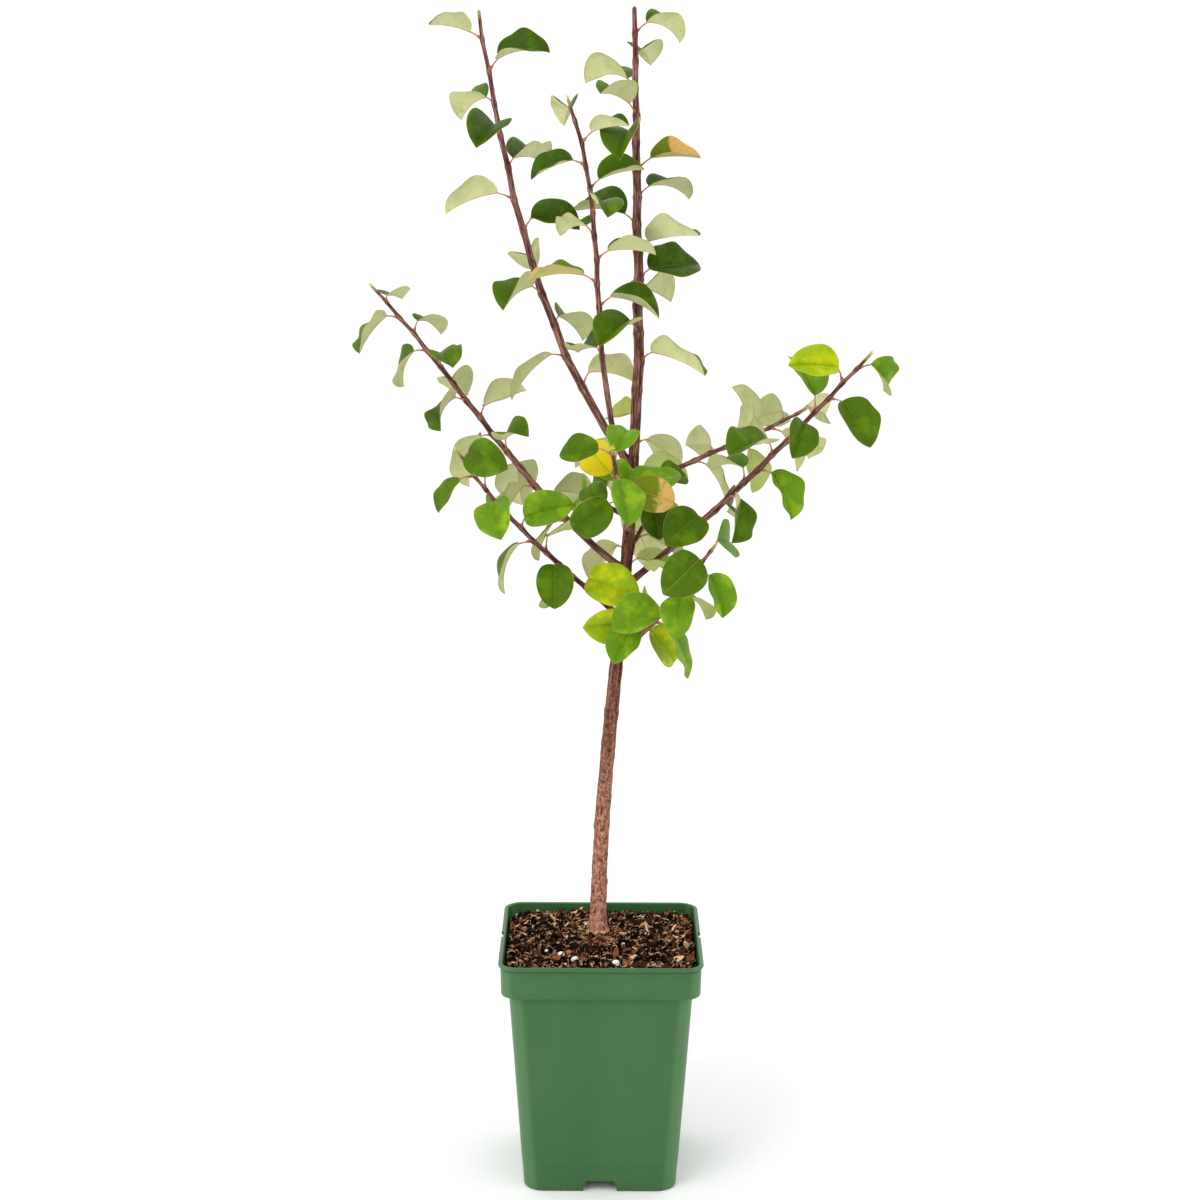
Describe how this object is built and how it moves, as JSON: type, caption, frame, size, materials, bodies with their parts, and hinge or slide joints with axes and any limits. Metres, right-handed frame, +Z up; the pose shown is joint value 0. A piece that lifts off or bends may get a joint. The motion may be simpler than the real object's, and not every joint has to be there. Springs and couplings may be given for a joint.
{
  "type": "potted young quince tree",
  "caption": "Young quince tree with slender leafy shoots in a square green nursery pot; it stands upright on the pot's flat underside.",
  "frame": {"origin": "centre of the pot's flat underside, where the pot stands on the ground", "axes": "+Z up along the tree, -Y towards the pot's front, +X to the right as seen from the front"},
  "size_m": [0.5611, 0.3391, 1.2344],
  "materials": {
    "pot_plastic": "satin moulded plastic",
    "potting_mix": "rough bark chips",
    "trunk_bark": "fine rough bark",
    "shoot_bark": "smooth young bark",
    "leaves": "soft leaf"
  },
  "bodies": {
    "root": {"pot": "pot_plastic", "potting_mix": "potting_mix", "trunk": "trunk_bark", "leader": "shoot_bark", "left_leader": "shoot_bark", "middle_shoot": "shoot_bark", "left_bough": "shoot_bark", "low_left_bough": "shoot_bark", "right_bough": "shoot_bark", "upper_right_bough": "shoot_bark", "low_right_bough": "shoot_bark", "front_bough": "shoot_bark", "back_bough": "shoot_bark", "leader_leaves": "leaves", "left_leader_leaves": "leaves", "middle_shoot_leaves": "leaves", "left_bough_leaves": "leaves", "low_left_bough_leaves": "leaves", "right_bough_leaves": "leaves", "upper_right_bough_leaves": "leaves", "low_right_bough_leaves": "leaves", "front_bough_leaves": "leaves", "back_bough_leaves": "leaves", "high_spur_leaves": "leaves", "left_spur_leaves": "leaves", "back_spur_leaves": "leaves", "low_spur_leaves": "leaves"}
  },
  "joints": []
}
